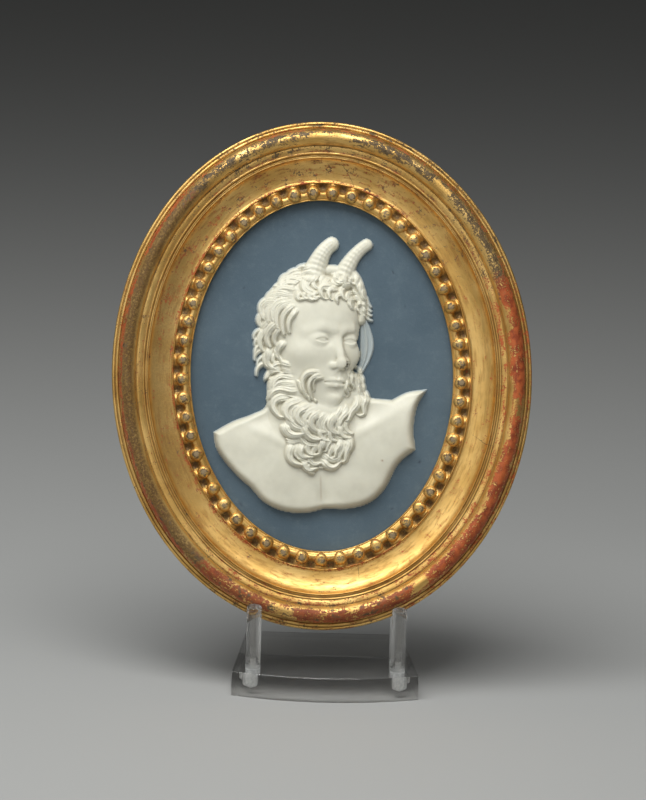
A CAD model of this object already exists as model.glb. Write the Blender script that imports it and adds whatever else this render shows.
"""The satyr plaque dressed for rendering: a gilded frame, a jasper plaque with its fine
relief and a clear acrylic stand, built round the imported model, in metres."""

import math

import bmesh
import bpy
import numpy as np
from mathutils import Matrix, Vector


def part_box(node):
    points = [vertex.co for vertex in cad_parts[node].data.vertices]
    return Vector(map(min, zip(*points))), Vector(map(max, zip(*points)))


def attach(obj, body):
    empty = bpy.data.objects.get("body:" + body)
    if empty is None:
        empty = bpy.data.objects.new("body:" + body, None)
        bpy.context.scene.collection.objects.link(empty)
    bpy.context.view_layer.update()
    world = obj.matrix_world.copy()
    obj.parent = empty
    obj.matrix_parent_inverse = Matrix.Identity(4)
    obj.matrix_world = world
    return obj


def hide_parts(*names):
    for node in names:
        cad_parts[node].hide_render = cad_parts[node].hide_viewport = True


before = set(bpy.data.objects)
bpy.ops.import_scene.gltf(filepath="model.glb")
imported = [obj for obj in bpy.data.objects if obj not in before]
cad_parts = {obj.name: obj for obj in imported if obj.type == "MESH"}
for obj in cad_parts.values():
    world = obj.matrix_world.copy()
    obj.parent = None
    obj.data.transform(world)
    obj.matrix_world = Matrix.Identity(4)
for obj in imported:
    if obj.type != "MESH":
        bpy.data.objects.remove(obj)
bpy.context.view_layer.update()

MM = 0.001

# Frame, in millimetres, as in the CAD model
FRAME_HALF_WIDTH = 84.2
FRAME_HALF_HEIGHT = 101.9
FRAME_LEAN = 11.3
FRAME_TURN = 2.7
BEAD_COUNT = 53
BEAD_RADIUS = 2.7
BEAD_INSET = 28.2
BEAD_HEIGHT = 9.3
COLUMNS_PER_BEAD = 14
CHANNEL_START = 24.7
CHANNEL_END = 31.05
CHANNEL_FLOOR = 8.0
SIGHT_INSET = 31.5
REBATE_INSET = 28.0
REBATE_HEIGHT = 5.9

# Plaque: the middle of its plate, its face and the level that the relief sinks to
PLATE_MIDDLE = 3.1
PLATE_BACK = 0.6
PLATE_FACE = 5.75
RELIEF_SINK = -0.3

# Stand
SLAB_WIDTH = 75.0
SLAB_DEPTH = 70.0
SLAB_THICKNESS = 10.0
SLAB_TAPER = 5.2
SLAB_FRONT_BOW = 7.5
SLAB_EASED_EDGE = 0.35
PEG_RADIUS = 3.0
PEG_SPREAD = 29.0
PEG_SOCKET_DEPTH = 6.2
SOCKET_GAP = 0.25
GLUE_RISE = 0.9
FRONT_PEG_HEIGHT = 27.0
FRONT_PEG_INSET = 12.8
FRONT_PEG_LEAN = 9.0
BACK_PEG_HEIGHT = 62.0
BACK_PEG_INSET = 26.84

# Head
HEAD_HEIGHT = 54.0
HEAD_U, HEAD_V = -3.0, 14.5
HEAD_YAW = math.radians(31)
HEAD_TILT = math.radians(5)
RELIEF_DEPTH = 0.4
NECK_HALF_WIDTH = 17.8
CHEST_HEIGHT = 3.6
EDGE_SLOPE = 2.6

# Steps of the relief's grid: on the head and beard, round them and on the horns
FINE_STEP = 0.235
COARSE_STEP = 0.5
HORN_STEP = 0.34


# Mesh helpers

def plaque_matrix():
    """Places plaque coordinates, u to the right, v up and h towards the viewer, in the model."""
    low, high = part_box("plaque_ground")
    lean = Matrix.Rotation(math.radians(90 - FRAME_LEAN), 4, "X")
    turn = Matrix.Rotation(math.radians(FRAME_TURN), 4, "Z")
    to_middle = Matrix.Translation((0, 0, -PLATE_MIDDLE * MM))
    return Matrix.Translation((low + high) / 2) @ lean @ turn @ to_middle


def stand_matrix():
    """Places stand coordinates: x from its middle, y back from its front edge, z up."""
    low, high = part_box("stand_base")
    return Matrix.Translation(((low.x + high.x) / 2, low.y, low.z))


PLAQUE = plaque_matrix()
STAND = stand_matrix()


def add_object(name, points, faces, materials, place):
    """An object from points in millimetres, placed in the model."""
    mesh = bpy.data.meshes.new(name)
    mesh.from_pydata((np.asarray(points, float) * MM).tolist(), [], [list(f) for f in faces])
    for material in materials:
        mesh.materials.append(material)
    added = bpy.data.objects.new(name, mesh)
    bpy.context.scene.collection.objects.link(added)
    added.matrix_world = place
    return added


def add_piece(name, points, faces, materials, place, face_materials=None, smooth=True, values=None):
    """A piece that rides on the model's one body and may carry values or vectors at its points."""
    piece = add_object(name, points, faces, materials, place)
    mesh = piece.data
    if face_materials is not None:
        mesh.polygons.foreach_set("material_index", np.asarray(face_materials, np.int32))
    mesh.polygons.foreach_set("use_smooth", np.full(len(mesh.polygons), smooth))
    mesh.validate()
    mesh.update()
    for key, numbers in (values or {}).items():
        kind, field = ("FLOAT_VECTOR", "vector") if numbers.ndim == 2 else ("FLOAT", "value")
        attribute = mesh.attributes.new(key, kind, "POINT")
        attribute.data.foreach_set(field, numbers.astype(np.float32).ravel())
    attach(piece, "root")
    return piece


def grid_faces(rows, columns, closed_rows=False, closed_columns=False):
    """Quads of a grid whose points run row by row."""
    i = np.arange(rows if closed_rows else rows - 1)
    j = np.arange(columns if closed_columns else columns - 1)
    i, j = np.meshgrid(i, j, indexing="ij")
    i2, j2 = (i + 1) % rows, (j + 1) % columns
    quads = np.stack([i * columns + j, i2 * columns + j, i2 * columns + j2, i * columns + j2], -1)
    return quads.reshape(-1, 4)


def ramp(x, start, end):
    """Rises smoothly from 0 at the start to 1 at the end."""
    t = np.clip((x - start) / (end - start), 0, 1)
    return t * t * (3 - 2 * t)


def band(x, start, end, soft):
    """1 between the start and the end, with soft shoulders."""
    return ramp(x, start - soft, start + soft) * (1 - ramp(x, end - soft, end + soft))


# Materials

class Surface:
    """A material under construction: its methods add nodes and return their outputs."""

    def __init__(self, name):
        self.material = bpy.data.materials.new(name)
        self.material.use_nodes = True
        self.nodes = self.material.node_tree.nodes
        self.shader = self.nodes["Principled BSDF"].inputs

    def feed(self, socket, value):
        """Links a node's output to a socket, or gives the socket a plain value."""
        if isinstance(value, bpy.types.NodeSocket):
            self.material.node_tree.links.new(value, socket)
        elif socket.type == "RGBA":
            socket.default_value = (*value, 1)
        else:
            socket.default_value = value

    def look(self, **values):
        """Feeds the shader's sockets, named in lower case with underscores for spaces."""
        sockets = {name.lower().replace(" ", "_"): socket for name, socket in self.shader.items()}
        for name, value in values.items():
            self.feed(sockets[name], value)

    def node(self, kind, inputs, output, **settings):
        added = self.nodes.new("ShaderNode" + kind)
        for name, value in settings.items():
            setattr(added, name, value)
        for name, value in inputs.items():
            self.feed(added.inputs[name], value)
        return added.outputs[output]

    def attribute(self, name, output="Fac"):
        """A value that the mesh carries."""
        return self.node("Attribute", {}, output, attribute_name=name)

    def ripples(self, place, scale, detail, roughness):
        """Noise over the given coordinates."""
        inputs = {"Vector": place, "Scale": scale, "Detail": detail, "Roughness": roughness}
        return self.node("TexNoise", inputs, "Fac")

    def noise(self, scale, detail=3.0, stretch=(1, 1, 1), roughness=0.55):
        """Noise over the object's own coordinates; scale is in ripples per metre."""
        place = self.node("TexCoord", {}, "Object")
        stretched = self.node("Mapping", {"Vector": place, "Scale": stretch}, "Vector")
        return self.ripples(stretched, scale, detail, roughness)

    def streaks(self, scale, detail):
        """Noise drawn out along the moulding, over the coordinates kept in the mesh as grain."""
        return self.ripples(self.attribute("grain", "Vector"), scale, detail, 0.5)

    def calculate(self, operation, a, b, clamp=False):
        return self.node("Math", {0: a, 1: b}, 0, operation=operation, use_clamp=clamp)

    def spread(self, value, gain):
        """How far a value from 0 to 1 lies from the middle, times the gain."""
        return self.calculate("MULTIPLY", self.calculate("SUBTRACT", value, 0.5), gain)

    def remap(self, value, low, high, to_low=0.0, to_high=1.0):
        """A value between low and high as one between the other two, smoothly."""
        inputs = {"Value": value, "From Min": low, "From Max": high, "To Min": to_low, "To Max": to_high}
        return self.node("MapRange", inputs, "Result", interpolation_type="SMOOTHSTEP")

    def mix(self, share, a, b):
        """A mix of two colours; the node keeps its colours in sockets 6 and 7 and the mix in 2."""
        return self.node("Mix", {0: share, 6: a, 7: b}, 2, data_type="RGBA")

    def bump(self, height, distance, strength):
        inputs = {"Height": height, "Distance": distance, "Strength": strength}
        self.feed(self.shader["Normal"], self.node("Bump", inputs, "Normal"))


def gold_leaf():
    """Leaf over bole: rubbed through where the mesh says so, glittering on in specks, streaked
    along the moulding, dull in its hollows and down to the gesso on the beads."""
    s = Surface("gold_leaf")
    cloud = s.noise(55, 4)
    blotch = s.noise(300, 5, roughness=0.65)
    fine = s.noise(1200, 5, roughness=0.75)
    brushed = s.streaks(900, 4)
    gold = s.mix(s.remap(cloud, 0.35, 0.68), (0.66, 0.40, 0.115), (0.84, 0.56, 0.20))
    dull = s.calculate("MULTIPLY", s.remap(brushed, 0.45, 0.68), 0.56)
    gold = s.mix(dull, gold, (0.36, 0.20, 0.06))
    dirt = s.calculate("MULTIPLY", s.attribute("dirt"), s.remap(fine, 0.3, 0.6, 0.65, 1.0))
    gold = s.mix(dirt, gold, (0.072, 0.036, 0.012))
    red = s.mix(s.remap(blotch, 0.38, 0.62), (0.20, 0.036, 0.014), (0.44, 0.108, 0.032))
    brown = s.mix(s.remap(fine, 0.38, 0.62), (0.034, 0.023, 0.011), (0.15, 0.100, 0.048))
    stained = s.calculate("ADD", s.attribute("brown"), s.remap(blotch, 0.5, 0.75, -0.1, 0.6))
    bole = s.mix(s.remap(stained, 0.25, 0.75), red, brown)
    bole = s.mix(s.remap(s.attribute("brown"), 1.02, 1.15), bole, (0.25, 0.185, 0.105))
    uneven = s.calculate("ADD", s.spread(blotch, 2.0), s.spread(fine, 2.6))
    uneven = s.calculate("ADD", uneven, s.spread(brushed, 1.4))
    worn = s.remap(s.calculate("ADD", s.attribute("wear"), uneven), 0.42, 0.62)
    covered = s.calculate("MAXIMUM", worn, dirt)
    s.look(
        base_color=s.mix(worn, gold, bole),
        metallic=s.calculate("SUBTRACT", 1.0, covered, clamp=True),
        roughness=s.remap(brushed, 0.3, 0.7, 0.39, 0.56),
        specular_ior_level=0.22,
    )
    s.bump(s.calculate("ADD", s.calculate("MULTIPLY", fine, 0.6), brushed), 0.00016, 0.5)
    return s.material


def back_wood():
    """Bare, darkened wood on the frame's back."""
    s = Surface("back_wood")
    grain = s.noise(120, 5, stretch=(9, 1, 1))
    tone = s.mix(s.remap(grain, 0.3, 0.7), (0.12, 0.065, 0.03), (0.26, 0.155, 0.075))
    s.look(base_color=tone, roughness=0.65)
    s.bump(grain, 0.0005, 0.5)
    return s.material


def crack_dark():
    s = Surface("crack_dark")
    s.look(base_color=s.mix(s.noise(800), (0.02, 0.01, 0.006), (0.07, 0.035, 0.02)), roughness=0.9)
    return s.material


def blue_jasper():
    """Fine matt clay, a little clouded and hazy, with pale specks and dark pits."""
    s = Surface("blue_jasper")
    fine = s.noise(1500, 4, roughness=0.7)
    tone = s.mix(s.remap(s.noise(35), 0.3, 0.7), (0.057, 0.094, 0.123), (0.075, 0.116, 0.146))
    haze = s.remap(s.noise(260, 6, roughness=0.75), 0.48, 0.72, 0.0, 0.3)
    tone = s.mix(haze, tone, (0.130, 0.180, 0.205))
    tone = s.mix(s.remap(s.noise(2400, 2), 0.70, 0.78), tone, (0.16, 0.21, 0.27))
    tone = s.mix(s.attribute("pit"), tone, (0.03, 0.045, 0.065))
    s.look(base_color=tone, roughness=s.remap(fine, 0.3, 0.7, 0.55, 0.75))
    s.bump(fine, 0.00012, 0.6)
    return s.material


def white_jasper():
    """Waxy white clay: the blue shows through where it is thin, and hollows are warmer."""
    s = Surface("white_jasper")
    fine = s.noise(1800, 4, roughness=0.7)
    tone = s.mix(s.remap(s.noise(90), 0.3, 0.7), (0.62, 0.605, 0.49), (0.71, 0.695, 0.57))
    tone = s.mix(s.attribute("hollow"), tone, (0.22, 0.175, 0.095))
    tone = s.mix(s.attribute("thin"), tone, (0.27, 0.34, 0.38))
    tone = s.mix(s.attribute("stain"), tone, (0.30, 0.18, 0.09))
    s.look(
        base_color=tone,
        roughness=0.46,
        subsurface_weight=0.12,
        subsurface_radius=(1.0, 0.85, 0.6),
        subsurface_scale=0.0004,
    )
    s.bump(fine, 0.00005, 0.5)
    return s.material


def clear_acrylic(name, solidity):
    """Polished acrylic, lightly scratched; the rest of the light passes straight through."""
    s = Surface(name)
    scratches = s.noise(500, 6, stretch=(1, 1, 0.2), roughness=0.75)
    s.look(
        base_color=(0.99, 0.975, 0.945),
        transmission_weight=1.0,
        ior=1.49,
        alpha=solidity,
        roughness=s.remap(scratches, 0.55, 0.8, 0.0, 0.07),
    )
    return s.material


def frosted_acrylic():
    """Drilled and glued surfaces, which scatter the light."""
    s = Surface("frosted_acrylic")
    fine = s.noise(900, 4)
    s.look(
        base_color=s.mix(s.remap(fine, 0.35, 0.65), (0.62, 0.64, 0.63), (0.86, 0.87, 0.86)),
        transmission_weight=0.45,
        ior=1.3,
        alpha=0.9,
        roughness=s.remap(fine, 0.35, 0.65, 0.35, 0.7),
    )
    s.bump(fine, 0.0004, 0.8)
    return s.material


# The frame's oval: curves at a constant distance inside its outer edge

def oval_point(angle, inset):
    x = FRAME_HALF_WIDTH * np.cos(angle)
    y = FRAME_HALF_HEIGHT * np.sin(angle)
    normal_x, normal_y = x / FRAME_HALF_WIDTH**2, y / FRAME_HALF_HEIGHT**2
    length = np.hypot(normal_x, normal_y)
    return x - inset * normal_x / length, y - inset * normal_y / length


def oval_angles(count, inset):
    """Angles of points evenly spaced along the curve."""
    fine = np.linspace(0, 2 * math.pi, 2881)
    x, y = oval_point(fine, inset)
    lengths = np.concatenate([[0], np.cumsum(np.hypot(np.diff(x), np.diff(y)))])
    return np.interp(np.arange(count) / count * lengths[-1], lengths, fine)


def arc(centre, radii, start, end, steps):
    turns = np.radians(np.linspace(start, end, steps))
    return [(centre[0] + radii[0] * math.cos(t), centre[1] + radii[1] * math.sin(t)) for t in turns]


def moulding_section():
    """The moulding from its outer edge inwards: (distance inside the outer edge, height)."""
    section = [(0.4, 0), (0.1, 0.15), (0, 0.5), (0, 5), (0, 10.6)]
    section += [(0.12, 10.95), (0.4, 11.25), (0.85, 11.35), (1.12, 11.2), (1.25, 10.9), (1.38, 11.2)]
    section += [(1.42, 11.9), (1.6, 12.3), (2.0, 12.5), (2.4, 12.45), (2.62, 12.2), (2.72, 11.9)]
    section += [(2.82, 12.3), *arc((6.4, 12.8), (3.6, 4.6), 178, 24, 22)]
    section += [(9.85, 14.3), (10.0, 14.55), (10.3, 14.62), (11.2, 14.3), (12.1, 14.15), (12.3, 14.0)]
    section += [(12.38, 14.3), (12.6, 14.58), (12.85, 14.55), (13.1, 14.3), (13.2, 13.6)]
    section += [(13.35, 13.25), (13.8, 13.25), (14.15, 13.4), (14.22, 13.95), (14.38, 14.3)]
    section += [(14.55, 14.3), (14.68, 14.05)]
    section += arc((24.0, 13.9), (9.3, 4.6), 180, 270, 18)
    section += [(24.1, 9.6), (24.25, 9.82), (24.42, 9.8), (24.56, 9.5), (24.66, 8.8)]
    section += [(inset, CHANNEL_FLOOR) for inset in np.arange(24.8, 31.0, 0.36)]
    section += [(31.0, 8.9), (31.12, 9.25), (31.28, 9.35), (31.42, 9.2)]
    section += [(SIGHT_INSET, height) for height in (8.8, 7.4, REBATE_HEIGHT)]
    section += [(REBATE_INSET, height) for height in (REBATE_HEIGHT, 3, 0.2)]
    return np.array([*section, (27.8, 0)])


def channel_lift(inset, phase):
    """The gold left standing on both sides of the beads, over the channel's floor."""
    beside_bead = np.cos(math.pi * phase)
    inner_web = 2.1 * ramp(inset, 27.2 - 0.9 * beside_bead, 28.9 - 0.9 * beside_bead)
    inner_web = inner_web * (1 - 0.45 * ramp(inset, 29.6, 30.8))
    outer_web = 2.3 * ramp(inset, 27.2, 25.4) * beside_bead**2
    lift = inner_web + outer_web - 0.5 * ramp(inset, 27.2, 25.6)
    return np.where((inset > CHANNEL_START) & (inset < CHANNEL_END), lift, 0)


def wear_marks(angle, inset):
    """Where the leaf is rubbed through, and how brown the bole is there, for angles in degrees."""
    left = band(np.abs(angle), 126, 190, 8)
    rubbed = [
        (0.95, band(angle, -60, 26, 6), 2.9, 8.5, 1.3),
        (0.72, band(angle, 22, 132, 10), 3.4, 7.6, 1.6),
        (0.74, left, 2.6, 4.6, 1.0),
        (0.84, band(angle, -132, -60, 6), 3.0, 8.6, 1.2),
        (0.55, band(np.abs(angle), 50, 185, 20), 23.2, 24.6, 0.4),
        (0.22, band(angle, 40, 170, 20), 15.0, 22, 2.5),
        (0.34, 1 - 0.8 * left, 9.6, 12.6, 0.6),
        (0.28, 1 - left, 0, 2.8, 0.3),
    ]
    wear = np.zeros(inset.shape)
    for strength, share, outer, inner, soft in rubbed:
        wear = np.maximum(wear, strength * share * band(inset, outer, inner, soft))
    brown = np.maximum(band(angle, 22, 132, 10), 0.6 * left)
    brown = np.maximum(brown, 0.5 * band(angle, -132, -64, 8))
    brown = brown * (1 - 0.9 * band(inset, 2.2, 3.9, 0.4)) * (1 - 0.6 * ramp(inset, 9, 13))
    gold_left = [
        (-10.9, -6.0, 2.7, 9.6), (-17.7, -12.1, 6.9, 9.6), (-6.0, -1.8, 7.0, 9.6), (-63.5, -59.0, 4.0, 9.6),
        (-107.6, -99.5, 2.8, 7.6), (80.2, 92.6, 5.0, 9.6), (10, 16, 6.0, 9.6), (-36, -31, 6.6, 9.6),
        (112, 118, 2.8, 4.6), (-84, -80, 6.8, 9.2), (150, 155, 2.9, 4.8), (48, 53, 5.0, 9.6),
    ]
    for start, end, outer, inner in gold_left:
        wear = wear - 0.55 * band(angle, start, end, 1.2) * band(inset, outer, inner, 0.9)
    return wear, brown


def dirt_marks(angle, inset, height, phase):
    """Dirt in the grooves and between the beads, and the dull left side, for angles in degrees."""
    grooves = [1.25, 2.72, 9.85, 12.3, 13.4, 14.2]
    dirt = sum(0.75 * np.exp(-(((inset - groove) / 0.16) ** 2)) for groove in grooves)
    pocket = band(inset, CHANNEL_START, 27.4, 0.4) * ramp(np.abs(phase), 0.24, 0.40)
    dull_left = 1.1 * band(np.abs(angle), 126, 190, 8) * band(inset, 3.8, 8.6, 1.2)
    dull_left += 0.55 * band(np.abs(angle), 146, 190, 12) * band(inset, 16, 24.4, 2)
    dirt = dirt + 0.95 * pocket + 0.2 * band(inset, CHANNEL_START, 31, 0.3) * (height < 8.4)
    return np.clip(np.maximum(dirt, dull_left), 0, 0.95)


def grain_of(angle, inset):
    """Coordinates in metres in which the moulding's length is shortened, for streaks along it."""
    return np.stack([inset, 14 * np.cos(angle), 14 * np.sin(angle)], -1).reshape(-1, 3) * MM


def ring_mesh():
    """The moulding's points, faces and marks, and the material of each face."""
    section = moulding_section()
    columns = BEAD_COUNT * COLUMNS_PER_BEAD
    angle = oval_angles(columns, BEAD_INSET)[:, None] + np.zeros(len(section))
    inset = section[:, 0] + np.zeros((columns, 1))
    height = section[:, 1] + np.zeros((columns, 1))
    phase = ((np.arange(columns)[:, None] / COLUMNS_PER_BEAD) % 1) - 0.5
    carved = ramp(height, 8.5, 12)
    on_floor = (height < CHANNEL_FLOOR + 0.05) & (inset > CHANNEL_START)
    height = height + channel_lift(inset, phase) * on_floor
    unevenness = 0.05 * np.sin(5 * angle + 1) + 0.03 * np.sin(17 * angle + 0.4 * inset)
    height = height + carved * unevenness
    points = np.stack([*oval_point(angle, inset), height], -1).reshape(-1, 3)
    degrees = (np.degrees(angle) + 180) % 360 - 180
    wear, brown = wear_marks(degrees, inset)
    marks = {"wear": wear, "brown": brown, "dirt": dirt_marks(degrees, inset, height, phase)}
    marks = {name: values.ravel() for name, values in marks.items()}
    marks["grain"] = grain_of(angle, inset)
    faces = grid_faces(columns, len(section), closed_rows=True, closed_columns=True)
    on_back = np.tile(np.arange(len(section)) == len(section) - 1, columns)
    return (points, faces, marks), on_back.astype(int)


def bead_mesh(angle, random):
    """Points, faces and marks of one bead with a rubbed, flattened top."""
    segments = 20
    polar = np.array([0, 0.26, 0.50, 0.62, 0.80, 1.00, 1.25, 1.50, 1.75, 1.95])[:, None]
    around = np.linspace(0, 2 * math.pi, segments, endpoint=False)[None, :]
    radius = BEAD_RADIUS * random.uniform(1.03, 1.10)
    flat = radius * random.uniform(0.78, 0.86)
    reach = radius * np.sin(polar) + 0 * around
    z = 0.9 * np.minimum(radius * np.cos(polar), flat + 0.10 * radius * np.cos(polar) ** 6) + 0 * around
    lump = 1 + 0.04 * np.sin(3 * around + random.uniform(0, 6)) * np.sin(polar)
    centre_x, centre_y = oval_point(angle, BEAD_INSET + random.uniform(-0.12, 0.12))
    x = centre_x + reach * np.cos(around) * lump
    y = centre_y + reach * np.sin(around) * lump
    points = np.stack([x, y, BEAD_HEIGHT + z], -1).reshape(-1, 3)
    reach = reach.ravel()
    rubbed = 1 - ramp(reach, 0.36 * BEAD_RADIUS, 0.78 * BEAD_RADIUS)
    marks = {
        "wear": np.maximum(random.uniform(0.6, 0.95) * rubbed, random.uniform(0.0, 0.3)),
        "brown": 0.4 + 0.8 * rubbed,
        "dirt": 0.12 * ramp(reach, 0.9 * BEAD_RADIUS, 1.05 * BEAD_RADIUS),
        "grain": points * MM,
    }
    return points, grid_faces(len(polar), segments, closed_columns=True), marks


def giltwood(materials):
    """The moulding and its beads as one piece."""
    random = np.random.default_rng(7)
    ring, face_materials = ring_mesh()
    beads = [bead_mesh(angle, random) for angle in oval_angles(2 * BEAD_COUNT, BEAD_INSET)[1::2]]
    parts = [ring, *beads]
    starts = np.cumsum([0] + [len(points) for points, _, _ in parts])
    points = np.concatenate([points for points, _, _ in parts])
    faces = np.concatenate([faces + start for (_, faces, _), start in zip(parts, starts)])
    marks = {name: np.concatenate([marks[name] for _, _, marks in parts]) for name in ring[2]}
    face_materials = np.pad(face_materials, (0, len(faces) - len(face_materials)))
    piece = add_piece("giltwood_frame", points, faces, materials, PLAQUE, face_materials, values=marks)
    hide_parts("frame")


def surface_height(u, v):
    """Height of the moulding under a place on it."""
    x, y = oval_point(np.linspace(0, 2 * math.pi, 1441), 0)
    inset = np.hypot(x - u, y - v).min()
    front = moulding_section()[4:-4]
    return np.interp(inset, np.maximum.accumulate(front[:, 0]), front[:, 1])


# Cracks as lines of places on the moulding
CRACKS = [
    [(59.7, -24.6), (63.2, -27.2), (64.6, -28.5), (66.5, -29.0), (68.4, -29.6)],
    [(-5.6, 86.4), (0.4, 85.4), (5.0, 84.9), (9.9, 84.4), (11.6, 81.8), (13.2, 78.7), (14.0, 76.4),
     (15.2, 74.7)],
    [(12.9, -75.8), (13.1, -79.0), (13.2, -82.6)],
]


def cracks(material):
    """Fine cracks through gesso and leaf, as dark threads in the moulding."""
    half_width, lift, jitter = 0.08, 0.05, 0.12
    random = np.random.default_rng(11)
    points, faces = [], []
    for line in CRACKS:
        places = np.arange(len(line))
        count = 6 * len(line)
        steps = np.linspace(0, len(line) - 1, count)
        u, v = (
            np.interp(steps, places, values) + random.uniform(-jitter, jitter, count)
            for values in zip(*line)
        )
        along = np.stack([np.gradient(u), np.gradient(v)], -1)
        along /= np.linalg.norm(along, axis=1, keepdims=True)
        half = half_width * np.sin(np.linspace(0.15, math.pi - 0.15, count))
        aside = np.stack([-half * along[:, 1], half * along[:, 0]], -1)
        first = len(points)
        for side in (-1, 1):
            for x, y in np.stack([u, v], -1) + side * aside:
                points.append((x, y, surface_height(x, y) + lift))
        for k in range(first, first + count - 1):
            faces.append((k, k + 1, k + count + 1, k + count))
    piece = add_piece("moulding_cracks", points, faces, [material], PLAQUE)


# Plaque ground, with its pits: u, v, reach

PITS = [
    (38.6, -35.4, 0.5), (-48.2, -20.0, 0.45), (29.5, 41.0, 0.35), (-30.5, 36.2, 0.3), (-14.0, 60.5, 0.35),
    (41.5, 14.0, 0.3), (27.0, -54.0, 0.35), (-33.6, -51.0, 0.3), (5.5, 64.2, 0.3), (33.8, 27.5, 0.3),
]
PIT_DEPTH = 0.25


def jasper_ground(material):
    """The oval plate with a softly rounded rim and the pits of its face."""
    sides, rings = 300, 150
    rim = REBATE_INSET + 0.3
    section = [(rim + 2.0, PLATE_BACK), (rim + 0.5, PLATE_BACK), (rim, PLATE_BACK + 0.5)]
    section += [(rim, 3.0), (rim, PLATE_FACE - 0.25), (rim + 0.25, PLATE_FACE)]
    angle = oval_angles(sides, rim)
    rows = [np.stack([*oval_point(angle, inset), np.full(sides, height)], -1) for inset, height in section]
    inner = [rows[-1] * (share, share, 1) for share in np.linspace(1, 0.004, rings)[1:]]
    rows = [rows[0] * (0.002, 0.002, 1), *rows, *inner]
    points = np.concatenate(rows)
    x, y, z = points.T
    front = z > PLATE_FACE - 0.01
    pit = np.zeros(len(points))
    for u, v, reach in PITS:
        pit = np.maximum(pit, np.exp(-((np.hypot(x - u, y - v) / reach) ** 2)) * front)
    z += front * 0.03 * np.sin(x / 9) * np.cos(y / 11) - PIT_DEPTH * pit
    faces = grid_faces(len(rows), sides, closed_columns=True)[:, ::-1]
    piece = add_piece("jasper_ground", points, faces, [material], PLAQUE, values={"pit": pit})
    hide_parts("plaque_ground")


# Head: volumes as distances in shares of its height, x to the sitter's left, y up and z forward

def soft_max(a, b, k):
    """The greater of two values, blended where they differ by less than k."""
    share = np.clip(0.5 + 0.5 * (a - b) / k, 0, 1)
    return b + (a - b) * share + k * share * (1 - share)


def soft_min(a, b, k):
    return -soft_max(-a, -b, k)


def ball(p, centre, radius):
    return np.sqrt(sum((p[i] - centre[i]) ** 2 for i in range(3))) - radius


def egg(p, centre, radii):
    q = [(p[i] - centre[i]) / radii[i] for i in range(3)]
    reach = np.sqrt(sum(value**2 for value in q))
    slope = np.sqrt(sum((value / radius) ** 2 for value, radius in zip(q, radii)))
    return reach * (reach - 1) / np.maximum(slope, 1e-6)


def rod(p, start, end, start_radius, end_radius):
    along = [end[i] - start[i] for i in range(3)]
    offset = [p[i] - start[i] for i in range(3)]
    share = np.clip(sum(a * b for a, b in zip(offset, along)) / sum(a * a for a in along), 0, 1)
    distance = np.sqrt(sum((offset[i] - along[i] * share) ** 2 for i in range(3)))
    return distance - (start_radius + (end_radius - start_radius) * share)


def bent_rod(p, start, middle, end, radii, k):
    """Two rods in a row, with their radii at the start, the middle and the end."""
    first = rod(p, start, middle, *radii[:2])
    return soft_min(first, rod(p, middle, end, *radii[1:]), k)


def skull(p, m):
    """Distance to skull, cheeks, chin and brow from a place p, which is m when mirrored to the left."""
    d = egg(p, (0, 0.13, -0.06), (0.330, 0.37, 0.42))
    d = soft_min(d, egg(p, (0, -0.10, 0.06), (0.265, 0.38, 0.305)), 0.06)
    d = soft_min(d, egg(m, (0.165, -0.095, 0.195), (0.095, 0.075, 0.105)), 0.09)
    d = soft_min(d, egg(p, (0, -0.35, 0.16), (0.185, 0.16, 0.19)), 0.07)
    d = soft_min(d, ball(p, (0, -0.430, 0.285), 0.066), 0.07)
    brow = (0.040, 0.078, 0.338), (0.120, 0.092, 0.312), (0.205, 0.062, 0.232)
    d = soft_min(d, bent_rod(m, *brow, (0.020, 0.022, 0.016), 0.02), 0.060)
    socket = egg(m, (0.120, 0.014, 0.372), (0.086, 0.046, 0.078))
    return soft_max(d, -socket, 0.050)


def eyes(d, m):
    """Eyeballs behind lids that open as an almond between two arcs."""
    centre = (0.120, 0.004, 0.262)
    across = (m[0] - centre[0]) / 0.064
    curve = np.maximum(1 - across**2, -0.5)
    upper = centre[1] + 0.026 * curve - 0.002
    lower = centre[1] - 0.020 * curve + 0.002
    opening = np.maximum(m[1] - upper, lower - m[1])
    lids = soft_max(ball(m, centre, 0.0805), -opening, 0.005)
    return soft_min(soft_min(d, ball(m, centre, 0.070), 0.008), lids, 0.016)


def nose_shape(p, m):
    nose = rod(p, (0, 0.060, 0.318), (0, -0.145, 0.420), 0.024, 0.030)
    nose = soft_min(nose, ball(p, (0, -0.163, 0.424), 0.036), 0.025)
    nose = soft_min(nose, egg(m, (0.044, -0.180, 0.368), (0.026, 0.025, 0.042)), 0.030)
    nose = soft_min(nose, rod(p, (0, -0.175, 0.415), (0, -0.212, 0.362), 0.016, 0.020), 0.020)
    return soft_max(nose, -egg(p, (-0.025, -0.214, 0.396), (0.011, 0.010, 0.022)), 0.008)


def mouth(d, p, m):
    """Closed lips with their seam, the groove above them and the dent below."""
    upper = (0.012, -0.284, 0.368), (0.050, -0.288, 0.352), (0.100, -0.303, 0.302)
    lower = (0, -0.330, 0.362), (0.045, -0.326, 0.346), (0.092, -0.308, 0.306)
    seam = (0, -0.306, 0.396), (0.052, -0.307, 0.374), (0.104, -0.305, 0.312)
    d = soft_min(d, egg(p, (0, -0.275, 0.262), (0.130, 0.100, 0.092)), 0.060)
    d = soft_min(d, bent_rod(m, *upper, (0.018, 0.015, 0.006), 0.01), 0.016)
    d = soft_min(d, bent_rod(m, *lower, (0.021, 0.018, 0.006), 0.01), 0.016)
    d = soft_max(d, -bent_rod(m, *seam, (0.012, 0.010, 0.004), 0.004), 0.010)
    d = soft_max(d, -rod(p, (0, -0.238, 0.384), (0, -0.262, 0.384), 0.010, 0.010), 0.022)
    return soft_max(d, -egg(p, (0, -0.374, 0.366), (0.080, 0.022, 0.030)), 0.040)


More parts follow.
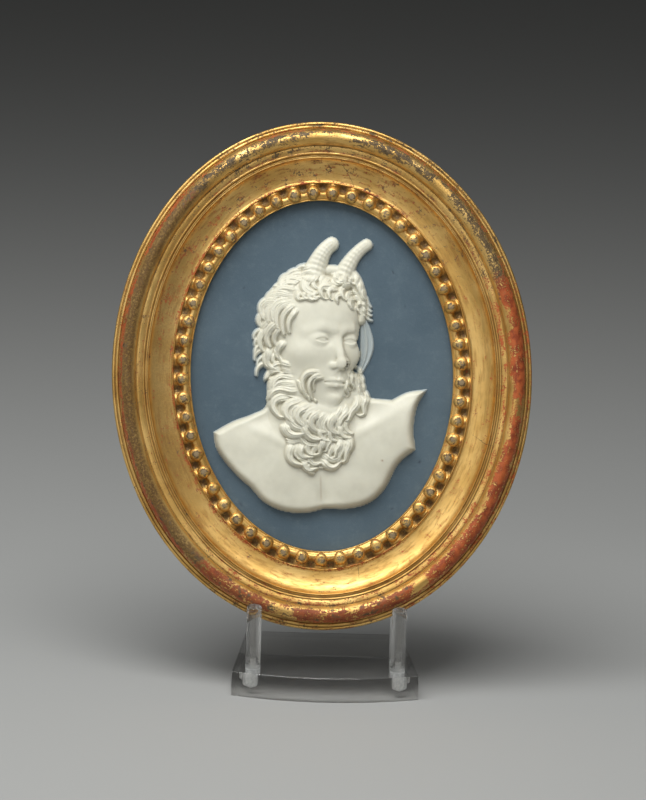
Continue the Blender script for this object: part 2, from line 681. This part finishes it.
def face(p):
    m = [np.abs(p[0]), p[1], p[2]]
    d = eyes(skull(p, m), m)
    d = soft_min(d, nose_shape(p, m), 0.030)
    return mouth(d, p, m)


def hair_cap(p):
    return egg(p, (0, 0.155, -0.085), (0.375, 0.385, 0.415))


def jaw_beard(p):
    return egg(p, (0, -0.36, 0.10), (0.29, 0.20, 0.27))


def head_place(u, v, z):
    """A place in front of the plaque as a place in the turned and tilted head."""
    x, y = (u - HEAD_U) / HEAD_HEIGHT, (v - HEAD_V) / HEAD_HEIGHT
    c, s = math.cos(HEAD_TILT), math.sin(HEAD_TILT)
    x, y = c * x - s * y, s * x + c * y
    c, s = math.cos(HEAD_YAW), math.sin(HEAD_YAW)
    z = z / HEAD_HEIGHT
    return [c * x - s * z, y, s * x + c * z]


def front_of(shape, u, v, lift):
    """The front of a volume of the head, flattened into relief; a miss is negative."""
    nearest, farthest = 0.6 * HEAD_HEIGHT, -0.2 * HEAD_HEIGHT
    tolerance = 0.02
    z = np.full(u.size, nearest)
    closest = np.full(u.size, 1e9)
    hit = np.zeros(u.size, bool)
    live = np.arange(u.size)
    flat_u, flat_v = u.ravel(), v.ravel()
    for _ in range(44):
        d = shape(head_place(flat_u[live], flat_v[live], z[live])) * HEAD_HEIGHT
        closest[live] = np.minimum(closest[live], d)
        z[live] -= 0.85 * d
        hit[live[d < tolerance]] = True
        live = live[(d >= tolerance) & (z[live] > farthest)]
        if len(live) == 0:
            break
    result = np.where(hit, np.maximum(z * RELIEF_DEPTH + lift, 0.3), -EDGE_SLOPE * closest)
    return result.reshape(u.shape)


# Bust outline, clockwise from the neck, in mm from the plaque's centre; the corners are sharp

BUST = [
    (-19, 2), (-22.5, -11), (-28, -14.6), (-36, -17.4), (-44, -21.6), (-42.6, -29), (-36.5, -37.6),
    (-29.5, -44.4), (-24.5, -50), (-17, -53.8), (-8, -54.8), (0, -53.2), (10, -53.4), (18.5, -51),
    (24.5, -45.5), (30, -36), (37, -30.4), (36.3, -22), (38, -13), (42.2, -6.2), (34.5, -7.2),
    (28, -10.2), (17, -8), (12, 2),
]
BUST_CORNERS = {4, 11, 16, 19, 21}

# Broad rises and hollows of the chest: u, v, half-length, half-width, direction, height
CHEST_FORMS = [
    (20, -25, 17, 14, 35, 2.2), (-24, -28, 16, 10, -25, 1.4), (13, -40, 12, 10, 0, 1.3),
    (-14, -41, 14, 10, 0, 1.3), (0, -48, 3, 9, 0, -0.6), (-24, -16.5, 11, 3.5, 14, -1.0),
    (18, -15, 9, 5, 30, -1.2), (31, -8, 9, 4.5, 20, -1.6), (-19, -25, 12, 2, -26, 0.5),
    (17, -22, 10, 2, 30, 0.5),
]


def with_edge(height, inside):
    """The height inside a form's outline, and a steep fall outside it."""
    return np.where(inside > 0, height, EDGE_SLOPE * inside)


def smooth_loop(points, corners, per_side):
    """A closed curve through the points."""
    loop = []
    count = len(points)
    for i in range(count):
        before, start, end, after = (np.array(points[(i + k) % count], float) for k in (-1, 0, 1, 2))
        leave = end - start if i in corners else (end - before) / 2
        arrive = end - start if (i + 1) % count in corners else (after - start) / 2
        for k in range(per_side):
            t = k / per_side
            t2, t3 = t**2, t**3
            weights = (2 * t3 - 3 * t2 + 1, t3 - 2 * t2 + t, 3 * t2 - 2 * t3, t3 - t2)
            loop.append(sum(w * p for w, p in zip(weights, (start, leave, end, arrive))))
    return np.array(loop)


def from_segment(a, b, u, v):
    """The share of the way along a segment that is nearest to a place, and the way from there."""
    dx, dy = b - a
    share = np.clip(((u - a[0]) * dx + (v - a[1]) * dy) / (dx * dx + dy * dy), 0, 1)
    return share, u - a[0] - dx * share, v - a[1] - dy * share


def inside_distance(loop, u, v):
    """Distance to a closed curve, negative outside it."""
    nearest = np.full(u.shape, 1e9)
    inside = np.zeros(u.shape, bool)
    for a, b in zip(loop, np.roll(loop, -1, axis=0)):
        _, x, y = from_segment(a, b, u, v)
        nearest = np.minimum(nearest, np.hypot(x, y))
        dx, dy = b - a
        if dy != 0:
            inside ^= ((a[1] > v) != (b[1] > v)) & (u < dx * (v - a[1]) / dy + a[0])
    return np.where(inside, nearest, -nearest)


def chest_height(u, v, from_edge):
    """The chest's broad forms with a rounded edge."""
    chest = np.full(u.shape, CHEST_HEIGHT)
    for centre_u, centre_v, length, width, direction, height in CHEST_FORMS:
        c, s = math.cos(math.radians(direction)), math.sin(math.radians(direction))
        x = ((u - centre_u) * c + (v - centre_v) * s) / length
        y = ((v - centre_v) * c - (u - centre_u) * s) / width
        chest += height * np.exp(-x * x - y * y)
    rounded_edge = 6.2 * (1 - np.exp(-EDGE_SLOPE * np.maximum(from_edge, 0) / 4.6))
    return soft_min(chest, rounded_edge, 1.2)


def bust_height(u, v):
    """Chest and neck, falling off steeply outside their outline."""
    from_edge = inside_distance(smooth_loop(BUST, BUST_CORNERS, 6), u, v)
    chest = chest_height(u, v, from_edge)
    neck_middle = -4.6 - 0.1 * (v + 10)
    across = (u - neck_middle) / NECK_HALF_WIDTH
    sink = 4.5 * np.clip((-v - 16) / 16, 0, 2) ** 1.5 + 5.0 * np.clip((v + 15) / 12, 0, 2) ** 2
    neck = 1.2 + 5.4 * np.sqrt(np.maximum(1 - across**2, 0)) - sink
    tendon = 0.5 * np.exp(-(((u + 13 - 0.35 * (v + 10)) / 2.2) ** 2))
    both = np.minimum(soft_max(chest, neck + tendon, 2), 9 * np.maximum(from_edge, 0))
    return with_edge(np.where(np.abs(across) < 1, both, chest), from_edge)


# Curved strokes: the horns, the far ear and every lock are raised along one

def near_line(line, u, v):
    """Distance to a line, the share of the way along it and the side of it."""
    best = np.full(u.shape, 1e9)
    along = np.zeros(u.shape)
    side = np.zeros(u.shape)
    for i, (a, b) in enumerate(zip(line, line[1:])):
        share, x, y = from_segment(a, b, u, v)
        distance = np.hypot(x, y)
        nearer = distance < best
        dx, dy = b - a
        best = np.where(nearer, distance, best)
        along = np.where(nearer, (i + share) / (len(line) - 1), along)
        side = np.where(nearer, np.sign(dx * y - dy * x), side)
    return best, along, side


def bowed_line(start, bow, end, steps):
    """A smooth line that leaves its start and reaches its end towards the bow."""
    t = np.linspace(0, 1, steps + 1)[:, None]
    start, bow, end = (np.array(p, float) for p in (start, bow, end))
    return (1 - t) ** 2 * start + 2 * t * (1 - t) * bow + t * t * end


# Horns: root, bow, tip, radius at the root and the tip
HORNS = [
    ((-2.6, 39), (0, 50), (5.1, 52.9), 5.6, 2.9),
    ((9, 38.5), (12.2, 48), (19.1, 52.3), 4.5, 2.45),
]


def horn_height(horn, u, v):
    """A tapered horn with growth rings and fine length-wise ribs."""
    *places, root, tip = horn
    distance, along, side = near_line(bowed_line(*places, 20), u, v)
    radius = tip + (root - tip) * (1 - along) ** 2
    q = side * distance / radius
    round_share = np.sqrt(np.maximum(1 - q * q, 0))
    rings = 0.13 * np.cos(2 * math.pi * (9 * along + 0.35 * q * q)) * (1.1 - along)
    ribs = 0.05 * np.cos(14 * q)
    height = 0.6 + (0.72 * radius + rings + ribs) * round_share
    return with_edge(height, radius - distance)


# The far ear's middle line, from its root down
EAR_LINE = [
    (17.2, 22), (17.8, 19), (18.2, 16), (18.4, 13.5), (18.4, 11), (18.0, 8.5), (17.4, 6), (15.6, 1.8),
]


def ear_height(u, v):
    """The thin, drooping goat's ear behind the far cheek, with its folds."""
    distance, along, side = near_line(np.array(EAR_LINE), u, v)
    half = 0.8 + 1.9 * np.sin(math.pi * (0.1 + 0.8 * along)) ** 1.2
    q = side * distance / half
    folds = 0.62 + 0.30 * np.cos(2.4 * math.pi * q + 0.5) * np.clip(1.15 - np.abs(q), 0, 1)
    return np.minimum(folds, EDGE_SLOPE * (half - distance))


# Low masses of hair under the locks: start, bow, end, half-width at the start and the end, height
HAIR_MASSES = [
    ((11, 41), (17.5, 37), (16, 22), 3.4, 2.0, 2.6),
    ((0, 41.6), (4.5, 43), (9.5, 41), 2.6, 2.6, 2.4),
    ((-19, 22), (-20.5, 12), (-18, 2), 4.0, 3.0, 2.2),
]


def mass_height(mass, u, v):
    *places, root, tip, rise = mass
    distance, along, _ = near_line(bowed_line(*places, 12), u, v)
    half = root + (tip - root) * along
    mound = rise * np.sqrt(np.maximum(1 - (distance / half) ** 2, 0))
    return with_edge(mound, half - distance)


# Locks of hair: root u, v, bow u, v, end u, v, width, hook in degrees

def lock_row(first, last, count, wave=0.5):
    """Locks that run from the first to the last, each a little longer, wider or more curled."""
    locks = []
    for k in range(count):
        lock = [a + (b - a) * k / (count - 1) for a, b in zip(first, last)]
        turn = math.sin(2.4 * k + first[0])
        swell = math.cos(1.9 * k + first[1])
        lock[2] += wave * turn
        lock[3] -= 0.6 * wave * swell
        lock[4] += 1.3 * wave * turn + 0.06 * swell * (last[4] - last[0])
        lock[5] -= wave * turn - 0.06 * swell * (last[5] - last[1])
        lock[6] *= 1 + 0.14 * swell
        lock[7] *= 1 + 0.35 * turn
        locks.append(tuple(lock))
    return locks


CROWN_LOCKS = [
    (-2.6, 45.6, -6.4, 44.6, -9.8, 41.2, 3.4, -20),
    *lock_row((-4.5, 43.5, -10.5, 43.4, -13.4, 38.8, 4.2, 50),
              (-8, 33.6, -16, 35.6, -20.6, 29.4, 4.6, 50), 5, 0.7),
    *lock_row((-5, 42.6, -9, 38.4, -5.4, 34, 3.8, 80), (4.6, 42.5, 1.2, 38, 4.8, 35, 3.8, 80), 5, 0.8),
    *lock_row((5.6, 43.4, 4.5, 39, 8.8, 36.8, 3.4, 60), (12, 40.6, 12.2, 38, 14.8, 36, 3.2, -30), 3),
]
SIDE_LOCKS = [
    (-11, 31.6, -23.5, 33.4, -23.2, 24.2, 5.0, 60),
    (-11.5, 29.8, -20.4, 31.2, -21.2, 22.6, 4.6, 50),
    (-19.5, 27, -25.8, 26.5, -23, 19.6, 4.2, 60),
    (-18.5, 31.5, -20.6, 31.6, -23.6, 29.6, 2.6, -30),
    *lock_row((12.6, 41, 15.6, 39, 15.4, 34.6, 3.2, -60),
              (15.2, 32, 19, 31.4, 20.4, 27, 2.8, -20), 4, 0.2),
    *lock_row((15, 29.6, 18.6, 28.6, 20.4, 25.4, 2.6, 10),
              (15.8, 24.6, 18.4, 24, 20.6, 21.8, 2.4, 20), 3, 0.2),
]
WISP_LOCKS = [
    *lock_row((-21.4, 21, -25.4, 19.5, -27, 14.8, 2.8, -10),
              (-21.8, 8.4, -24.6, 5.8, -26.2, 0.8, 2.5, -10), 6, 0.3),
]
FRINGE_LOCKS = [
    (-8.4, 35.4, -9.8, 32.4, -7.2, 31, 3.4, 120),
    *lock_row((-6.2, 35.6, -7.4, 32.4, -4.8, 31, 3.2, 130),
              (-1.4, 35.8, -3, 32.6, -0.8, 31.4, 3.2, 130), 3, 0.2),
    (9, 34, 7.6, 33, 6.8, 29.6, 3.4, 60),
    (8.5, 36.2, 4.2, 36.2, 3.6, 31.8, 3.6, 110),
    (8, 37.8, 0.8, 37.8, 0.6, 32.4, 4.4, 120),
    (16.6, 29.5, 15, 29.5, 15.2, 25.6, 2.8, 80),
    (16.6, 31.8, 12.4, 32, 12.2, 27.6, 3.6, 100),
    (15.5, 34.2, 11.6, 34.4, 11.4, 29.8, 3.6, 90),
    (15, 36.6, 9.4, 37, 9, 31.8, 4.2, 110),
]
TEMPLE_LOCKS = [
    (-20.8, 24, -25, 18, -23.2, 10.5, 4.4, 30),
    (-15.5, 26.5, -22, 20.5, -20.6, 12, 4.8, 30),
    (-9.4, 31.6, -18, 33.4, -19.2, 22.6, 4.6, 50),
    (-16, 23.5, -19.2, 18, -17.6, 11.8, 3.6, -50),
    (-21.6, 15.5, -23.4, 8, -19.2, 3.4, 5.0, 100),
    (-9.8, 31, -17, 32, -17.4, 19.4, 4.6, 30),
    (-9.6, 30.2, -14.6, 29.8, -15, 17, 4.2, 50),
    (-9.6, 29, -11.8, 26, -12.8, 17.6, 3.6, -30),
    (-19.4, 12.6, -20.6, 7.4, -17.2, 5.2, 3.2, 80),
    (-14.6, 16.4, -18.2, 13, -16.4, 6.6, 4.4, 70),
]
WHISKER_LOCKS = [
    *lock_row((-10.5, 5, -16.4, 7, -21.4, 2, 4.2, 70),
              (-7.6, -4.6, -15, -3.8, -19.8, -8.4, 4.4, 90), 5, 0.6),
    *lock_row((12.6, 3, 16.4, 2, 16.4, -2, 3.2, -70),
              (12.6, -3.4, 17.4, -4, 17, -8.2, 3.6, -80), 3, 0.2),
]
JAW_LOCKS = [
    (-8, -6.4, -21.4, -6, -18.2, -15, 5.0, 130),
    (-5.4, -7.6, -16.4, -9, -13, -17.4, 5.2, 80),
    (-2.6, -9.4, -12.4, -12, -8, -19.6, 5.2, 50),
    (0, -11.8, -6.2, -15.8, -2.4, -22, 4.8, 40),
    (12.4, -5.4, 20, -9, 16.6, -15.4, 4.6, -130),
    (10.6, -7.4, 16.4, -12.6, 10.2, -17.8, 4.6, -60),
    (8.8, -10.4, 10.8, -15.4, 6.8, -19.8, 3.8, -40),
    (6.8, -12, 0.2, -18.6, 6.4, -23.2, 4.8, 40),
]
BEARD_LOCKS = [
    (5.4, -17.4, 5.6, -22.4, 10.8, -25, 3.8, -60),
    (2, -19, 1.6, -23.4, 5.6, -26.2, 3.6, 40),
    (-16, -15.6, -18.4, -23.4, -6.6, -22.6, 5.4, -20),
    (-11.4, -17.6, -8.8, -23, -0.6, -25, 5.2, -60),
    (-4.4, -19.8, -1.8, -23.2, 2.4, -26, 3.8, -40),
]
BEARD_TIP_LOCKS = [
    (-13, -23, -16.2, -31, -9, -35.4, 5.0, 80),
    (-8.4, -24.2, -11.4, -30, -5.6, -32.4, 4.8, 100),
    (5.4, -24.2, 13.8, -27.4, 8.6, -34, 5.0, -90),
    (2.4, -24.8, 9, -28, 4.6, -32.4, 4.6, -130),
    (-4.4, -24, 2.2, -27, -1.6, -31, 4.8, -150),
    (-10, -31.4, -8.4, -36.6, -3.2, -37, 4.4, 60),
    (-3.6, -32.6, 0.6, -37.6, 6.4, -34.8, 4.4, 60),
    (-6.8, -33.5, -7, -36.4, -4, -39, 3.2, 20),
]
MOUSTACHE_LOCKS = [
    (3.4, 1.2, -9, 5.4, -6.8, -7.6, 3.8, 90),
    (3.2, 0.4, -6, 3.6, -4.4, -8.8, 3.6, 60),
    (3, -0.4, -3.4, 1.2, -3.2, -5.4, 2.6, -80),
    (8.8, 0.4, 12.8, 0.2, 12.8, -5, 3.4, -60),
    (9, -0.8, 10.8, -4, 10.6, -7.6, 3.0, -90),
]

# How far each group of locks is raised over the head
LOCK_GROUPS = [
    (0.3, WISP_LOCKS), (0.1, CROWN_LOCKS), (0.1, SIDE_LOCKS), (0.4, FRINGE_LOCKS),
    (0.5, TEMPLE_LOCKS), (0.3, WHISKER_LOCKS), (0.5, JAW_LOCKS), (0.7, BEARD_LOCKS),
    (0.9, BEARD_TIP_LOCKS), (1.0, MOUSTACHE_LOCKS),
]


def lock_line(lock):
    """The bowed, slightly swaying line of a lock, curled at its end by its hook."""
    steps, hook_steps = 28, 8
    start, bow, end = np.array(lock[:6], float).reshape(3, 2)
    width, hook = lock[6], math.radians(lock[7])
    t = np.linspace(0, 1, steps + 1)[:, None]
    slope = (1 - t) * (bow - start) + t * (end - bow)
    slope /= np.linalg.norm(slope, axis=1, keepdims=True)
    sway = 0.22 * width * np.sin(2 * math.pi * t) * np.stack([-slope[:, 1], slope[:, 0]], -1)
    points = list(bowed_line(start, bow, end, steps) + sway)
    stride = abs(hook) * 0.42 * width / hook_steps
    angle = math.atan2(*(end - bow)[::-1])
    for _ in range(hook_steps):
        angle += hook / hook_steps
        points.append(points[-1] + stride * np.array([math.cos(angle), math.sin(angle)]))
    return np.array(points)


def neighbour(lock, side):
    """A lower, narrower lock beside this one, which fills the hair under it."""
    *places, width, hook = lock
    dx, dy = places[4] - places[0], places[5] - places[1]
    shift = side * 0.62 * width / math.hypot(dx, dy)
    return (*np.add(places, (-shift * dy, shift * dx) * 3), 0.85 * width, 0.6 * hook)


def lock_ridge(lock, q, along):
    """The rounded ridge and the strands of a lock; q is the place across it, from -1 to 1."""
    width = lock[6]
    phase = lock[0] + 1.7 * lock[1]
    rounded = np.cos(0.5 * math.pi * np.clip(q, -1, 1)) ** 0.75
    strands = max(3, round(width / 0.95))
    place = 0.5 * strands * (q + 1 + 0.10 * np.sin(3 * q + phase) + 0.10 * np.sin(6 * along + phase))
    strand = np.sin(math.pi * (place % 1)) ** 0.8
    strand_height = 0.38 + 0.17 * np.sin(phase + 2.3 * np.floor(place))
    body = 0.27 * width * rounded * (1 - 0.25 * along**2)
    return body + rounded**0.5 * (strand_height * strand - 0.18)


def raise_lock(us, vs, height, under, lock, lift, allowed=None):
    """Raises one lock with its strands in the grid of heights."""
    line, width = lock_line(lock), lock[6]
    low, high = line.min(0) - width, line.max(0) + width
    columns = slice(*np.searchsorted(us, (low[0], high[0])))
    rows = slice(*np.searchsorted(vs, (low[1], high[1])))
    window = (rows, columns)
    distance, along, side = near_line(line, *np.meshgrid(us[columns], vs[rows]))
    # A lock grows out of the hair over its first part and narrows to a tip.
    grown = ramp(along, 0, 0.4)
    half = 0.5 * width * (0.55 + 0.45 * grown) * (1 - 0.9 * along**2.6)
    ridge = lock_ridge(lock, side * distance / half, along)
    seat = np.maximum(under[window], 0.5)
    crest = seat - 0.7 * (1 - grown) + lift * grown + ridge * (0.12 + 0.88 * grown)
    crest = np.minimum(crest, seat - 0.2 + 1.9 * (half - distance))
    raised = with_edge(crest, half - distance)
    take = (distance < half) | (height[window] < 0)
    if allowed is not None:
        take &= allowed[window]
    blended = soft_max(height[window], raised, 0.2)
    height[window] = np.where(take, blended, height[window])


def under_locks(u, v):
    """Heights of bust, head, ear and horns before the locks, and where loose hair may lie."""
    bust = bust_height(u, v)
    rest = 1 - ((u + 1.5) / 14.5) ** 2 - ((v + 21) / 17) ** 2
    lower_beard = np.where(rest > 0, np.maximum(bust, 3) + 2.6 * np.sqrt(np.abs(rest)), -3)
    hair = soft_max(front_of(hair_cap, u, v, 0.2), front_of(jaw_beard, u, v, 0), 1)
    hair = soft_max(hair, lower_beard, 1.5) - 0.9
    head = np.maximum(np.maximum(bust, ear_height(u, v)), front_of(face, u, v, 0.6))
    for mass in HAIR_MASSES:
        head = soft_max(head, mass_height(mass, u, v), 0.6)
    hairy = (hair > head) & (hair > 0)
    under = np.where(hair > -0.4, soft_max(head, hair, 0.8), head)
    for horn in HORNS:
        under = np.maximum(under, horn_height(horn, u, v))
    return under, hairy


def relief_heights(us, vs):
    """The whole relief over its grid: first the loose hair beside the locks, then the locks."""
    under, hairy = under_locks(*np.meshgrid(us, vs))
    height = under.copy()
    locks = [(lift, lock) for lift, group in LOCK_GROUPS for lock in group]
    for lift, lock in locks:
        for side in (-1, 1):
            raise_lock(us, vs, height, under, neighbour(lock, side), lift - 0.5, hairy)
    for lift, lock in locks:
        raise_lock(us, vs, height, under, lock, lift)
    return height


def smoothed(values, reach):
    """Box blur, twice, over the grid."""
    kernel = np.ones(2 * reach + 1) / (2 * reach + 1)
    for _ in range(2):
        padded = np.pad(values, reach, mode="edge")
        rows = np.apply_along_axis(np.convolve, 1, padded, kernel, "valid")
        values = np.apply_along_axis(np.convolve, 0, rows, kernel, "valid")
    return values


def softened(height, within, step, slope):
    """Fills the foot of every step inside the relief that is steeper than the slope."""
    on_relief = (height > 0) & within
    for _ in range(5):
        for axis in (0, 1):
            for way in (-1, 1):
                beside = np.roll(height, way, axis) - slope * step
                height = np.where(on_relief, np.maximum(height, beside), height)
    return height


def relief_marks(u, v, height):
    """Hollows, thin places where the blue shows through, and a few stains."""
    broad = smoothed(np.maximum(height, 0), 5)
    close = smoothed(np.maximum(height, 0), 2)
    hollow = np.clip(0.35 * (broad - height) + 0.7 * (close - height) - 0.03, 0, 0.42)
    thin = 0.75 * (1 - ramp(close, 0.45, 1.5))
    streak = 0.3 * np.exp(-(((u + 1.4) / 0.35) ** 2)) * band(v, -49.5, -40.5, 1.5)
    spot = 0.9 * np.exp(-(np.hypot(u - 23.4, v + 34.4) / 0.4) ** 2)
    return {"hollow": hollow, "thin": thin, "stain": np.maximum(streak, spot)}


def stepped(*spans):
    return np.concatenate([np.arange(*span) for span in spans])


def satyr(material):
    """The white bust: one sheet of heights, sunk into the ground all round its outline."""
    us = stepped((-45.5, -28, COARSE_STEP), (-28, 21.5, FINE_STEP), (21.5, 43.6, COARSE_STEP))
    vs = stepped((-56.5, -39, COARSE_STEP), (-39, 43.5, FINE_STEP), (43.5, 57.5, HORN_STEP))
    u, v = np.meshgrid(us, vs)
    on_fine_grid = (u > -27.5) & (u < 21) & (v > -38.5) & (v < 43)
    height = softened(relief_heights(us, vs), on_fine_grid, FINE_STEP, 2.0)
    quads = grid_faces(len(vs), len(us))
    kept = (height > -0.75).ravel()[quads].any(axis=1)
    used, faces = np.unique(quads[kept][:, ::-1], return_inverse=True)
    points = np.stack([u, v, np.maximum(height, RELIEF_SINK) + REBATE_HEIGHT], -1).reshape(-1, 3)[used]
    marks = {name: values.ravel()[used] for name, values in relief_marks(u, v, height).items()}
    piece = add_piece("satyr_bust", points, faces.reshape(-1, 4), [material], PLAQUE, values=marks)
    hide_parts("satyr_relief")


# Stand

PEGS = [
    (f"{row}_peg_{name}", side * PEG_SPREAD, inset, lean, height)
    for side, name in ((-1, "left"), (1, "right"))
    for row, inset, lean, height in (
        ("front", FRONT_PEG_INSET, FRONT_PEG_LEAN, FRONT_PEG_HEIGHT),
        ("back", BACK_PEG_INSET, -FRAME_LEAN, BACK_PEG_HEIGHT),
    )
]


def slab_block():
    """Points and faces of the bow-fronted slab with slightly eased edges."""
    front = SLAB_WIDTH / 2
    back = front - SLAB_TAPER
    bow = bowed_line((-front, SLAB_FRONT_BOW), (0, -SLAB_FRONT_BOW), (front, SLAB_FRONT_BOW), 32)
    outline = [*map(tuple, bow), (back, SLAB_DEPTH), (-back, SLAB_DEPTH)]
    mesh = bmesh.new()
    corners = [mesh.verts.new((x, y, 0)) for x, y in outline]
    bottom = mesh.faces.new(corners[::-1])
    top = bmesh.ops.extrude_face_region(mesh, geom=[bottom])
    for corner in (g for g in top["geom"] if isinstance(g, bmesh.types.BMVert)):
        corner.co.z = SLAB_THICKNESS
    bmesh.ops.recalc_face_normals(mesh, faces=mesh.faces)
    sharp = [e for e in mesh.edges if e.calc_face_angle(0) > math.radians(30)]
    bmesh.ops.bevel(mesh, geom=sharp, offset=SLAB_EASED_EDGE, segments=3, profile=0.5, affect="EDGES")
    mesh.verts.index_update()
    points = [tuple(p.co) for p in mesh.verts]
    faces = [[p.index for p in f.verts] for f in mesh.faces]
    mesh.free()
    return points, faces


def drill_sockets(piece, material):
    """Cuts the pegs' sockets, a little wider and deeper than the pegs."""
    radius, depth = PEG_RADIUS + SOCKET_GAP, PEG_SOCKET_DEPTH + SOCKET_GAP
    drills = []
    for number, peg in enumerate(PEGS):
        drill = peg_object(f"drill_{number}", peg, [material], radius, SLAB_THICKNESS, depth)
        drills.append(drill)
        socket = piece.modifiers.new(f"socket_{number}", "BOOLEAN")
        socket.operation = "DIFFERENCE"
        socket.object = drill
        socket.solver = "EXACT"
        socket.material_mode = "TRANSFER"
    bpy.context.view_layer.update()
    evaluated = piece.evaluated_get(bpy.context.evaluated_depsgraph_get())
    piece.data = bpy.data.meshes.new_from_object(evaluated)
    piece.modifiers.clear()
    for drill in drills:
        bpy.data.objects.remove(drill)


def slab(clear, edge):
    """The slab: clear seen from above and below, denser at its polished edges."""
    points, faces = slab_block()
    piece = add_piece("acrylic_slab", points, faces, [clear, edge], STAND, smooth=False)
    for polygon in piece.data.polygons:
        polygon.material_index = 0 if abs(polygon.normal.z) > 0.9 else 1
    drill_sockets(piece, clear)
    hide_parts("stand_base")


def peg_object(name, peg, materials, radius, height, socket_depth):
    """A round rod with a drill-pointed foot; its second material is the glued part."""
    _, x, y, lean, _ = peg
    segments = 48
    profile = [(0.02, -socket_depth - 1.6), (radius - 0.15, -socket_depth - 0.1)]
    profile += [(radius, z) for z in (-socket_depth + 0.15, -socket_depth / 2, 0.2, GLUE_RISE)]
    profile += [(radius, height / 2), (radius, height - 0.45), (radius - 0.12, height - 0.14)]
    profile += [(radius - 0.4, height), (0.02, height)]
    around = np.linspace(0, 2 * math.pi, segments, endpoint=False)
    rows = [np.stack([r * np.cos(around), r * np.sin(around), 0 * around + z], -1) for r, z in profile]
    faces = grid_faces(len(profile), segments, closed_columns=True)[:, ::-1].tolist()
    glued = [int(len(materials) > 1 and z <= GLUE_RISE) for _, z in profile[1:] for _ in range(segments)]
    first_of_top = (len(profile) - 1) * segments
    faces += [list(range(segments))[::-1], list(range(first_of_top, first_of_top + segments))]
    glued += [glued[0], glued[0]]
    tilt = Matrix.Rotation(math.radians(lean), 4, "X")
    place = STAND @ Matrix.Translation((x * MM, y * MM, SLAB_THICKNESS * MM)) @ tilt
    return add_piece(name, np.concatenate(rows), faces, materials, place, glued)


def pegs(clear, frosted):
    for peg in PEGS:
        name, *_, height = peg
        piece = peg_object(f"acrylic_{name}", peg, [clear, frosted], PEG_RADIUS, height, PEG_SOCKET_DEPTH)
        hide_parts(name)


# Studio

def floor():
    """A wide, pale floor whose far part lies beyond the lamps' reach."""
    pale = Surface("pale_floor")
    pale.look(base_color=(0.355, 0.36, 0.35), roughness=0.8)
    corners = [(-6000, -4000, 0), (6000, -4000, 0), (6000, 9000, 0), (-6000, 9000, 0)]
    add_object("studio_floor", corners, [(0, 1, 2, 3)], [pale.material], Matrix())


def lamp(name, place, target, size, power):
    """A rectangular lamp that looks at the target."""
    light = bpy.data.lights.new(name, "AREA")
    light.shape = "RECTANGLE"
    light.size, light.size_y = size
    light.energy = power
    lamp_object = bpy.data.objects.new(name, light)
    bpy.context.scene.collection.objects.link(lamp_object)
    lamp_object.location = place
    lamp_object.rotation_euler = (Vector(target) - Vector(place)).to_track_quat("-Z", "Y").to_euler()


def lights():
    """Soft lamps from above, the left, the front and the right, and a dim, even surrounding."""
    world = bpy.data.worlds.new("studio")
    world.use_nodes = True
    background = world.node_tree.nodes["Background"].inputs
    background["Color"].default_value = (0.80, 0.80, 0.78, 1)
    background["Strength"].default_value = 0.06
    bpy.context.scene.world = world
    bpy.context.scene.view_settings.view_transform = "Standard"
    middle = (0, 0, 0.11)
    lamp("key", (-0.20, -0.42, 1.08), middle, (1.1, 0.6), 15.0)
    lamp("side", (-1.3, -0.45, 0.5), middle, (0.5, 1.0), 1.5)
    lamp("fill", (-0.4, -1.45, 0.75), middle, (1.2, 0.9), 4.4)
    lamp("right", (0.6, -0.5, 0.95), middle, (1.0, 0.6), 1.6)


# The photograph's view, fitted to the stand and the frame
PICTURE_WIDTH, PICTURE_HEIGHT = 646, 800
CAMERA_DISTANCE = 1.5
CAMERA_AZIMUTH = math.radians(-0.9)
CAMERA_ELEVATION = math.radians(11.46)
CAMERA_ROLL = math.radians(1.69)
PIXELS_PER_METRE = 2502
TARGET_PIXEL = (332.6, 392.65)
TARGET_BACK, TARGET_HEIGHT = 0.030, 0.120
SENSOR_WIDTH = 36.0


def camera():
    """A camera whose target lies at the target pixel, a little off the picture's middle."""
    low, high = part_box("stand_base")
    target = Vector(((low.x + high.x) / 2, low.y + TARGET_BACK, TARGET_HEIGHT))
    c, s = math.cos(CAMERA_ELEVATION), math.sin(CAMERA_ELEVATION)
    back = Vector((math.sin(CAMERA_AZIMUTH) * c, -math.cos(CAMERA_AZIMUTH) * c, s))
    level = Vector((math.cos(CAMERA_AZIMUTH), math.sin(CAMERA_AZIMUTH), 0))
    upright = back.cross(level)
    right = level * math.cos(CAMERA_ROLL) + upright * math.sin(CAMERA_ROLL)
    up = back.cross(right)
    across = (TARGET_PIXEL[0] - PICTURE_WIDTH / 2) / PIXELS_PER_METRE
    down = (TARGET_PIXEL[1] - PICTURE_HEIGHT / 2) / PIXELS_PER_METRE
    aim = target - right * across + up * down
    lens = bpy.data.cameras.new("camera")
    lens.sensor_fit = "HORIZONTAL"
    lens.sensor_width = SENSOR_WIDTH
    lens.lens = PIXELS_PER_METRE * CAMERA_DISTANCE * SENSOR_WIDTH / PICTURE_WIDTH
    lens.clip_start = 0.05
    view = bpy.data.objects.new("camera", lens)
    bpy.context.scene.collection.objects.link(view)
    rotation = Matrix((right, up, back)).transposed().to_4x4()
    view.matrix_world = Matrix.Translation(aim + back * CAMERA_DISTANCE) @ rotation
    bpy.context.scene.camera = view


giltwood([gold_leaf(), back_wood()])
cracks(crack_dark())
jasper_ground(blue_jasper())
satyr(white_jasper())
slab(clear_acrylic("clear_acrylic", 0.22), clear_acrylic("edge_acrylic", 0.88))
pegs(clear_acrylic("rod_acrylic", 0.7), frosted_acrylic())
floor()
lights()
camera()

bpy.context.view_layer.update()
